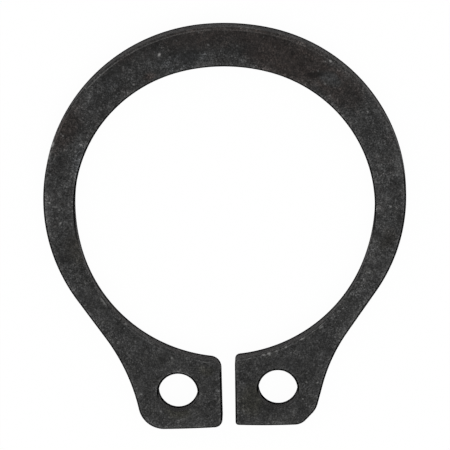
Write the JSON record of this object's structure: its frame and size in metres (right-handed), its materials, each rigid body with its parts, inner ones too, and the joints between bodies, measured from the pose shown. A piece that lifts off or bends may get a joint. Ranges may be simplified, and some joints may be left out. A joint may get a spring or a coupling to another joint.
{
  "type": "external retaining ring",
  "caption": "Flat open spring-steel ring, widest opposite its gap, with a plier hole in each lug; it snaps into a shaft's groove and stops parts from sliding off.",
  "frame": {"origin": "on the shaft's axis, at the ring's lower face, on which it lies", "axes": "+Z along the shaft's axis, toward the face with the rolled edges; +Y toward the crown, opposite the gap; +X to the right, as seen from above with the crown at the top"},
  "size_m": [0.0199, 0.0226, 0.0012],
  "materials": {
    "blackened_spring_steel": "matt black phosphate and oil over stamped spring steel"
  },
  "bodies": {
    "root": {"retaining_ring": "blackened_spring_steel"}
  },
  "joints": []
}
